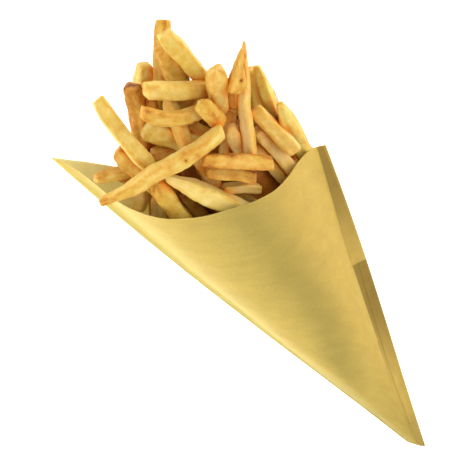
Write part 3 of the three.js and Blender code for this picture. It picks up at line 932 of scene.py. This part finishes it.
def fry_skin(fry, number, cut, draw, lumps):
    """The points of one fry, ring by ring. The first and last ring are each drawn together in a point."""
    _, _, ahead, side, up = fry_basis(fry)
    size = cut.rings[:, 1]
    roll = math.radians(fry.face) + math.radians(draw.uniform(-TWIST, TWIST)) * (cut.share - 0.5)
    right = np.cos(roll)[:, None] * side + np.sin(roll)[:, None] * up
    top = np.cos(roll)[:, None] * up - np.sin(roll)[:, None] * side
    # its centre line strays and its girth changes along its length
    walk = np.stack([0 * size, cut.from_ends[0], 0 * size + 50 * number], -1)
    stray = STRAY_ASIDE * lumpiness(walk, 15, 21)[:, None] * side
    stray = stray + STRAY_UP * lumpiness(walk, 13, 22)[:, None] * up
    centre = fry_line(fry, cut.share) + stray * np.sin(np.pi * cut.share)[:, None]
    girth = PLUMPNESS * fry.width * fry_fullness(fry, cut.share)
    wide = girth * (1 + GIRTH_CHANGE * lumpiness(walk, 9, 23))
    high = girth * (1 + GIRTH_CHANGE * lumpiness(walk, 10, 24))
    x = cut.section[:, 0] * (wide * size)[:, None]
    y = cut.section[:, 1] * (high * size)[:, None]
    # each end is cut at its own slant
    slant = draw.uniform(-SLANT, SLANT, (2, 2))
    fade = np.exp(-cut.from_ends / (0.8 * fry.width))
    lean = sum(fade[i][:, None] * (x * slant[i, 0] + y * slant[i, 1]) for i in (0, 1))
    offset = x[..., None] * right[:, None] + y[..., None] * top[:, None]
    points = centre[:, None] + offset + ahead * lean[..., None]
    height = fry.width * lumps * crust_relief(cut) * smooth_step(size, 0, 0.8)[:, None]
    return points + unit(offset + 1e-9) * height[..., None]


def face_values(turn, amounts):
    """One value for each of a fry's long faces, with a short change-over at the corners."""
    cos, sin = np.cos(turn), np.sin(turn)
    upright = np.where(sin >= 0, amounts[1], amounts[3])
    sideways = np.where(cos >= 0, amounts[0], amounts[2])
    share = np.abs(cos) ** 8 / (np.abs(cos) ** 8 + np.abs(sin) ** 8)
    return share * sideways + (1 - share) * upright


def fry_crust(fry, cut, points, draw):
    """How brown each point is by the face it is on, and how toasted at the ends, corners and marks."""
    side = fry_basis(fry)[3]
    ends = 0
    for i in (0, 1):
        reach = 0.55 * fry.width * (1 + draw.uniform(0, 1))
        ends = ends + fry.toast[i] * np.exp(-cut.from_ends[i] / reach)
    rims = np.exp(-cut.from_ends.min(0)) * (cut.rings[:, 1] > 0.85)
    edges = np.clip(0.25 + 0.9 * lumpiness(cut.places * (0.7, 1, 1), 5, 33), 0, 1) * cut.corner
    # the corners are browned a little all along: partly real browning, partly painted shade where the faces
    # turn away
    toast = ends[:, None] + 0.55 * edges + 0.12 * cut.corner + 0.2 * rims[:, None]
    for place, aside, radius, strength in fry.marks:
        ring = points[np.abs(cut.share - place).argmin()]
        from_middle = ring - ring.mean(0)
        is_below = from_middle[:, 2] < 0
        off = np.abs(from_middle @ side / (0.5 * fry.width) - aside) + is_below * FAR_OFF
        gap = np.linalg.norm(points - ring[off.argmin()], axis=2)
        toast = toast + strength * MARK_TOAST * np.exp(-((gap / radius) ** 2))
    tones = fry.tone + face_values(cut.turn, draw.uniform(-FACE_TONES, FACE_TONES, FACES)) + 0 * toast
    return tones, np.clip(toast, 0, MOST_TOAST)


def line_distance(points, starts, ends):
    """The distance from each point to each of a set of straight pieces."""
    along = ends - starts
    square = np.maximum((along**2).sum(1), 1e-9)
    rel = points[:, None] - starts[None]
    share = np.clip((rel * along[None]).sum(2) / square[None], 0, 1)
    return np.linalg.norm(rel - share[..., None] * along[None], axis=2)


def heap_lines(fries):
    """All centre lines as short straight pieces: starts, ends, half widths and the fry each is of."""
    share = np.linspace(LINE_INSET, 1 - LINE_INSET, LINE_PIECES + 1)
    lines = np.array([fry_line(fry, share) for fry in fries])
    halves = np.repeat([fry.width * 0.5 for fry in fries], LINE_PIECES)
    owners = np.repeat(np.arange(len(fries)), LINE_PIECES)
    return lines[:, :-1].reshape(-1, 3), lines[:, 1:].reshape(-1, 3), halves, owners


def crowding(points, number, lines):
    """How tightly the other fries lie against each point, and so where shade is painted: 0 in the open, 1 in
    a crevice.
    """
    starts, ends, halves, owners = lines
    middle = points.mean(0)
    spread = np.linalg.norm(points - middle, axis=1).max()
    close = np.linalg.norm((starts + ends) / 2 - middle, axis=1) < spread + SHADE_SEARCH
    keep = close & (owners != number)
    if not keep.any():
        return np.zeros(len(points))
    gap = (line_distance(points, starts[keep], ends[keep]) - halves[keep]).min(1)
    return 1 - smooth_step(gap, SHADE_FULL, SHADE_NONE)


def fry_faces(rings, around, first):
    """Quads between all rings but the outermost two, and a fan of triangles to one point of each of those."""
    here, beside = ring_pairs(around)
    start, end = first + around, first + (rings - 2) * around
    faces = closed_grid_faces(rings - 2, around, start).tolist()
    faces += np.stack([start + beside, start + here, 0 * here + first], -1).tolist()
    faces += np.stack([end + here, end + beside, 0 * here + end + around], -1).tolist()
    return faces


def fry_corners(skin, column, row, columns, rows):
    """The UV places of the corners of those faces, in one cell of the map."""
    around = skin.shape[1]
    walk = np.append(0, np.cumsum(np.linalg.norm(np.diff(skin[:, 0], axis=0), axis=1)))
    u = column / columns + (0.03 + 0.94 * np.arange(around + 1) / around) / columns
    v = row / rows + (0.02 + 0.96 * walk / walk[-1]) / rows
    middle = (u[1:] + u[:-1]) / 2
    start = np.broadcast_arrays(u[1:], v[1], u[:-1], v[1], middle, v[0])
    end = np.broadcast_arrays(u[:-1], v[-2], u[1:], v[-2], middle, v[-1])
    fans = [np.stack(fan, -1).reshape(-1, 2) for fan in (start, end)]
    return np.concatenate([quad_corners(u, v[1:-1]), *fans])


def build_fries(name, fries, first, lines, around, along, lumps, material):
    """One mesh for all the fries of a kind, with the crust's values and a cell of the UV map for each fry."""
    points, faces, corners, places = [], [], [], []
    values = {"tone": [], "toast": [], "crevice": [], "warm": []}
    columns = math.ceil(math.sqrt(2 * len(fries)))
    rows = math.ceil(len(fries) / columns)
    for cell, fry in enumerate(fries):
        number = first + cell
        draw = np.random.RandomState(FIRST_SEED + number)
        cut = cut_fry(fry, number, around, along, draw)
        skin = fry_skin(fry, number, cut, draw, lumps)
        tones, toast = fry_crust(fry, cut, skin, draw)
        flat = skin.reshape(-1, 3)
        faces += fry_faces(len(skin), around, cell * len(flat))
        corners.append(fry_corners(skin, cell % columns, cell // columns, columns, rows))
        points.append(flat)
        places.append(cut.places.reshape(-1, 3))
        values["tone"].append(tones.reshape(-1))
        values["toast"].append(toast.reshape(-1))
        values["crevice"].append(crowding(flat, number, lines))
        values["warm"].append(np.full(len(flat), fry.warm))
    # the outermost rings are down to one point each, and the others that they had go
    points = np.concatenate(points)
    used = np.unique(np.concatenate([np.array(face) for face in faces]))
    renumbered = np.full(len(points), -1)
    renumbered[used] = np.arange(len(used))
    faces = [renumbered[face] for face in faces]
    values = {key: np.concatenate(parts)[used] for key, parts in values.items()}
    places = {"fry_place": np.concatenate(places)[used]}
    return make_piece(name, points[used], faces, material, np.concatenate(corners), values, places)


def seeded(seed):
    """Draws between two values that are the same on every run, as the part's source does."""
    state = {"value": seed}

    def draw(least, most):
        state["value"] = state["value"] * RANDOM_STEP % RANDOM_RANGE
        return least + (most - least) * state["value"] / RANDOM_RANGE

    return draw


def fan_point(x, z, reach):
    """The point at a reach along the ray that starts at the cone's tip and has slopes x and z."""
    return (x * reach, -REACH * reach, z * reach + FAN["lift"])


def draw_fry(draw):
    """One fry of the fan, from a random place in it outwards."""
    angle = draw(0, 2 * math.pi)
    out = math.sqrt(draw(0, 1))
    across, above = out * math.cos(angle), out * math.sin(angle)
    width = draw(*HIDDEN["width"])
    length = draw(*HIDDEN["length"])
    start = draw(*HIDDEN["start"])
    end = min(start + length / REACH, HIDDEN["furthest"] - HIDDEN["edge"] * out * out)
    end_across = across + HIDDEN["sway"] / FAN["half_x"] * draw(-0.5, 0.5)
    end_above = above + HIDDEN["rise"] / FAN["half_z"] * draw(-0.5, 0.5)
    within = max(1, math.hypot(end_across, end_above))

    def in_fan(u, v, reach):
        """The point at a reach, from places across and up the fan of -1 to 1."""
        return fan_point(FAN["x"] + FAN["half_x"] * u, FAN["z"] + FAN["half_z"] * v, reach)

    return Fry(in_fan(across, above, start), in_fan(end_across / within, end_above / within, end), width)


def beneath_fries():
    """Deals out the fries under the ones that show, by the rule of the part's source."""
    draw = seeded(HIDDEN["seed"])
    samples = np.linspace(0, 1, LINE_SAMPLES)
    shown = STANDING + LYING
    lines = [fry_line(fry, samples) for fry in shown]
    shown_heights = np.array(lines)[:, :, None, 2]
    widths = [fry.width for fry in shown]
    dealt = []
    for _ in range(HIDDEN["tries"]):
        if len(dealt) >= HIDDEN["most"]:
            break
        fry = draw_fry(draw)
        if np.linalg.norm(np.subtract(fry.start, fry.end)) < HIDDEN["shortest"]:
            continue
        line = fry_line(fry, samples)
        apart = np.linalg.norm(np.array(lines)[:, :, None] - line, axis=3)
        least = HIDDEN["closest"] * (fry.width + np.array(widths)) / 2
        if (apart < least[:, None, None]).any():
            continue
        covers = (apart[: len(shown)] < HIDDEN["near"]) & (line[:, 2] > shown_heights - HIDDEN["under"])
        if covers.any():
            continue
        lines.append(line)
        widths.append(fry.width)
        # each is turned and fried a little differently
        number = len(dealt)
        fry.face = number * 37 % 90
        fry.tone = 0.5 + 0.3 * (number * 0.618 % 1)
        fry.toast = (0.4, 0.2 + 0.5 * (number * 0.37 % 1))
        dealt.append(fry)
    return dealt


def settled(fries):
    """The fries, each where it comes to lie in the heap."""
    return [replace(fry, start=fry.laid[0], end=fry.laid[1]) if fry.laid else fry for fry in fries]


def build_core(material):
    """The inside of the heap, given a dark crust as painted shade: a rounded wedge in the middle of the fan.
    """
    wedge = np.linspace(CORE["start"], CORE["nose"], CORE["rings"])
    bend = np.linspace(0, np.pi / 2, CORE["nose_rings"])[1:-1]
    nose = CORE["nose"] + (CORE["end"] - CORE["nose"]) * np.sin(bend)
    reach = np.concatenate([[CORE["start"]], wedge, nose, [CORE["end"]]])[:, None]
    radius = np.concatenate([[CORE["tip_radius"]], wedge, CORE["nose"] * np.cos(bend), [CORE["end_radius"]]])
    radius = radius[:, None]
    angle = np.linspace(0, 2 * np.pi, CORE["around"], endpoint=False)
    x, y, z = fan_point(FAN["x"], FAN["z"], reach)
    points = np.stack(np.broadcast_arrays(
        x + radius * FAN["half_x"] * CORE["fill"] * np.sin(angle),
        y,
        z + radius * FAN["half_z"] * CORE["fill"] * np.cos(angle),
    ), -1)
    # bumps that sink it in a little, but not at its two ends
    bumps = (0.8 * lumpiness(points, 7, 41) - 0.6) * (radius > 0.1)
    points = points + unit(points - points.mean(1, keepdims=True)) * bumps[..., None]
    rings, around = points.shape[:2]
    ends = [list(range(around))[::-1], [(rings - 1) * around + i for i in range(around)]]
    faces = closed_grid_faces(rings, around).tolist() + ends
    flat = points.reshape(-1, 3)
    values = {key: np.full(len(flat), value) for key, value in CORE["crust"].items()}
    return make_piece("heap_core", flat, faces, material, None, values, {"fry_place": flat})


def crust_group(settings):
    """Colour, roughness and relief of fried potato crust, from how brown it is and a place on the fry."""
    group, inputs, outputs = new_group(
        "fried_crust",
        [
            ("Place", "NodeSocketVector", None),
            ("Tone", "NodeSocketFloat", 0.5),
            ("Toast", "NodeSocketFloat", 0.0),
            ("Crevice", "NodeSocketFloat", 0.0),
            ("Warm", "NodeSocketFloat", 0.0),
        ],
        [("Color", "NodeSocketColor"), ("Roughness", "NodeSocketFloat"), ("Height", "NodeSocketFloat")],
    )
    place, tone, toast, crevice, warm = (inputs.outputs[i] for i in range(5))

    def combined(operation, first, second, clamp=False):
        """Two sockets or numbers put together."""
        return math_node(group, operation, first, second, clamp=clamp)

    def swing(noise, amount):
        """The noise as an amount that swings evenly about 0."""
        return combined("MULTIPLY", combined("SUBTRACT", noise, 0.5), amount)

    streaks = noise_node(group, stretched(group, place, (0.07, 0.3, 0.3)), scale=1, detail=3, roughness=0.6)
    blotches = noise_node(group, place, scale=0.24, detail=3, roughness=0.6)
    drift = noise_node(group, stretched(group, place, (0.09, 0.16, 0.16)), scale=1, detail=2, roughness=0.5)
    grain = noise_node(group, place, scale=0.75, detail=3, roughness=0.65)
    blisters = noise_node(group, place, scale=0.8, detail=2, roughness=0.5)
    spots = noise_node(group, place, scale=0.42, detail=4, roughness=0.65)
    hues = noise_node(group, place, scale=0.13, detail=3, roughness=0.6)

    # how brown it is: 0 cream, 1 dark
    brown = tone
    for noise, amount in ((streaks, 0.34), (blotches, 0.62), (drift, 0.6), (grain, 0.22)):
        brown = combined("ADD", brown, swing(noise, amount))
    brown = combined("MINIMUM", brown, BROWNEST_PLAIN)
    toasted = combined("MULTIPLY", toast, combined("ADD", blotches, 0.3))
    brown = combined("ADD", brown, combined("MULTIPLY", toasted, 0.42))
    # painted shade: the crust is made browner where fries crowd together
    brown = combined("ADD", brown, combined("MULTIPLY", crevice, 0.12))
    rare_spots = range_node(group, spots, start=0.64, end=0.74, at_start=0, at_end=0.14)
    brown = combined("ADD", brown, rare_spots, clamp=True)
    ramp = group.nodes.new("ShaderNodeValToRGB")
    stops = ramp.color_ramp.elements
    stops[0].position, stops[1].position = BROWNING[0], BROWNING[-1]
    for position in BROWNING[1:-1]:
        stops.new(position)
    for stop, key in zip(stops, ("cream", "pale", "golden", "ochre", "browned", "dark")):
        stop.color = (*getattr(settings, key), 1)
    group.links.new(brown, ramp.inputs["Fac"])

    warmth = combined("ADD", warm, swing(hues, 3))
    hue = mix_node(group, math_node(group, "MULTIPLY_ADD", warmth, 0.5, 0.5), OLIVE_TINT, PINKISH_TINT)
    colour = tinted(group, ramp.outputs["Color"], hue)
    # painted shade and bounce light: in the crevices the colour is mixed towards a deep orange, standing for
    # light that has come through other crust
    colour = mix_node(group, combined("MULTIPLY", crevice, 0.6), colour, settings.crevice_shade)
    group.links.new(colour, outputs.inputs["Color"])
    group.links.new(math_node(group, "MULTIPLY_ADD", blotches, 0.35, 0.36), outputs.inputs["Roughness"])
    height = combined("ADD", blisters, combined("MULTIPLY", grain, 0.7))
    group.links.new(height, outputs.inputs["Height"])
    return group


def fried_potato(settings):
    """Crust over soft potato: light goes a little way in. The heap's core and all the fries share it."""
    material, nodes, links, shader = new_material("potato_crust")
    crust = nodes.new("ShaderNodeGroup")
    crust.node_tree = crust_group(settings)
    links.new(attribute_node(nodes, "fry_place", "Vector"), crust.inputs["Place"])
    for attribute in ("tone", "toast", "crevice", "warm"):
        links.new(attribute_node(nodes, attribute, "Fac"), crust.inputs[attribute.capitalize()])
    links.new(crust.outputs["Color"], shader.inputs["Base Color"])
    links.new(crust.outputs["Roughness"], shader.inputs["Roughness"])
    add_relief(material.node_tree, shader, crust.outputs["Height"], strength=0.28, distance=0.0005)
    set_sockets(shader, {
        "Subsurface Weight": 0.38,
        "Subsurface Radius": (1.0, 0.5, 0.16),
        "Subsurface Scale": 0.0022,
        "Specular IOR Level": 0.2,
        "Coat Weight": 0.02,
        "Coat Roughness": 0.28,
    })
    return material


def potato_crust(settings):
    """The crust's material, made when it is first asked for."""
    return bpy.data.materials.get("potato_crust") or fried_potato(settings)


# ---------------------------------------------------------------- the studio


def add_floor(colour):
    """A plain pale floor that glows a little, so that it stays evenly bright."""
    mesh = bpy.data.meshes.new("floor")
    corners = [(x * FLOOR_HALF, y * FLOOR_HALF, 0) for x, y in ((-1, -1), (1, -1), (1, 1), (-1, 1))]
    mesh.from_pydata(corners, [], [(0, 1, 2, 3)])
    floor = bpy.data.objects.new("floor", mesh)
    floor.location.z = -FLOOR_DROP
    bpy.context.scene.collection.objects.link(floor)
    material, _, _, shader = new_material("studio_floor")
    set_sockets(shader, {
        "Base Color": (*colour, 1),
        "Roughness": 0.9,
        "Emission Color": (1, 1, 1, 1),
        "Emission Strength": 0.6,
    })
    mesh.materials.append(material)


def add_sky(strength):
    """Even light from all round."""
    world = bpy.data.worlds.new("studio_sky")
    world.use_nodes = True
    set_sockets(world.node_tree.nodes["Background"], {"Color": (*SKY_COLOUR, 1), "Strength": strength})
    bpy.context.scene.world = world


def add_soft_light(name, spec, power):
    """A big rectangular light, turned to its target."""
    light = bpy.data.lights.new(name, "AREA")
    light.shape = "RECTANGLE"
    light.size, light.size_y = spec["size"]
    light.energy = power
    light.color = spec["colour"]
    lamp = bpy.data.objects.new(name, light)
    lamp.location = spec["place"]
    lamp.rotation_mode = "QUATERNION"
    lamp.rotation_quaternion = (Vector(spec["target"]) - Vector(spec["place"])).to_track_quat("-Z", "Y")
    bpy.context.scene.collection.objects.link(lamp)


def add_camera():
    """Looks down on the heap, rolled so that the cone lies aslant."""
    scene = bpy.context.scene
    tilt, roll = math.radians(CAMERA_TILT), math.radians(CAMERA_ROLL)
    look = Vector((0, math.sin(tilt), -math.cos(tilt)))
    level_up = Vector((0, -math.cos(tilt), -math.sin(tilt)))
    level_right = Vector((-1, 0, 0))
    up = level_up * math.cos(roll) + level_right * math.sin(roll)
    right = level_right * math.cos(roll) - level_up * math.sin(roll)
    camera = bpy.data.objects.new("camera", bpy.data.cameras.new("camera"))
    scene.collection.objects.link(camera)
    place = Vector(row_frame(CAMERA_TARGET)) - look * CAMERA_DISTANCE * MM
    camera.matrix_world = Matrix.Translation(place) @ Matrix((right, up, -look)).transposed().to_4x4()
    camera.data.lens = CAMERA_LENS
    camera.data.sensor_width = SENSOR
    camera.data.clip_start, camera.data.clip_end = 0.01, 20
    scene.camera = camera


# ---------------------------------------------------------------- operators


class FRIES_OT_fold_paper_cone(bpy.types.Operator):
    """Fold the straw-paper cone"""

    bl_idname = "fries.fold_paper_cone"
    bl_label = "Fold paper cone"

    def execute(self, context):
        settings = context.scene.paper_cone
        piece = build_paper(settings, straw_paper(settings))
        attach(piece, BODY)
        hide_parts("paper_cone")
        return {"FINISHED"}


def stand_for_heap(piece):
    """Hangs a piece on the body in place of the solid heap, which it hides."""
    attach(piece, BODY)
    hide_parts("fries_heap")


class FRIES_OT_pack_heap_core(bpy.types.Operator):
    """Pack the inside of the heap, dark with painted shade"""

    bl_idname = "fries.pack_heap_core"
    bl_label = "Pack heap core"

    def execute(self, context):
        stand_for_heap(build_core(potato_crust(context.scene.potato)))
        return {"FINISHED"}


class FRIES_OT_lay_fries(bpy.types.Operator):
    """Lay all the fries: those that stand out of the mouth, those that lie on them, and those beneath"""

    bl_idname = "fries.lay_fries"
    bl_label = "Lay fries"

    def execute(self, context):
        settings = context.scene.potato
        crust = potato_crust(settings)
        kinds = (
            ("standing_fries", settled(STANDING), settings.around, settings.along),
            ("lying_fries", settled(LYING), settings.around, settings.along),
            ("beneath_fries", beneath_fries() + GAPS, HIDDEN_AROUND, HIDDEN_ALONG),
        )
        lines = heap_lines([fry for _, fries, _, _ in kinds for fry in fries])
        first = 0
        for name, fries, around, along in kinds:
            stand_for_heap(build_fries(name, fries, first, lines, around, along, settings.lumps, crust))
            first += len(fries)
        return {"FINISHED"}


class FRIES_OT_set_up_studio(bpy.types.Operator):
    """Set up the floor, the soft lights and the camera"""

    bl_idname = "fries.set_up_studio"
    bl_label = "Set up studio"

    def execute(self, context):
        settings = context.scene.fries_studio
        add_floor(settings.floor)
        add_sky(settings.sky)
        add_soft_light("key_softbox", KEY_LIGHT, settings.key_power)
        add_soft_light("side_softbox", SIDE_LIGHT, settings.side_power)
        add_camera()
        context.scene.view_settings.view_transform = "Standard"
        return {"FINISHED"}


class FRIES_PT_cone(bpy.types.Panel):
    """Lists the steps that make the fries and their cone"""

    bl_label = "Fries in a cone"
    bl_idname = "FRIES_PT_cone"
    bl_space_type = "VIEW_3D"
    bl_region_type = "UI"
    bl_category = "Fries cone"

    def draw(self, context):
        scene = context.scene
        for settings, steps in (
            (scene.paper_cone, [FRIES_OT_fold_paper_cone]),
            (scene.potato, [FRIES_OT_pack_heap_core, FRIES_OT_lay_fries]),
            (scene.fries_studio, [FRIES_OT_set_up_studio]),
        ):
            box = self.layout.box()
            for key in settings.__annotations__:
                box.prop(settings, key)
            for step in steps:
                box.operator(step.bl_idname)


CLASSES = (
    PaperConeSettings,
    PotatoSettings,
    StageSettings,
    FRIES_OT_fold_paper_cone,
    FRIES_OT_pack_heap_core,
    FRIES_OT_lay_fries,
    FRIES_OT_set_up_studio,
    FRIES_PT_cone,
)


def register():
    for cls in CLASSES:
        bpy.utils.register_class(cls)
    bpy.types.Scene.paper_cone = PointerProperty(type=PaperConeSettings)
    bpy.types.Scene.potato = PointerProperty(type=PotatoSettings)
    bpy.types.Scene.fries_studio = PointerProperty(type=StageSettings)


def unregister():
    del bpy.types.Scene.fries_studio
    del bpy.types.Scene.potato
    del bpy.types.Scene.paper_cone
    for cls in reversed(CLASSES):
        bpy.utils.unregister_class(cls)


def main():
    """Makes every piece and the stage."""
    register()
    bpy.ops.fries.fold_paper_cone()
    bpy.ops.fries.pack_heap_core()
    bpy.ops.fries.lay_fries()
    bpy.ops.fries.set_up_studio()


if __name__ == "__main__":
    main()
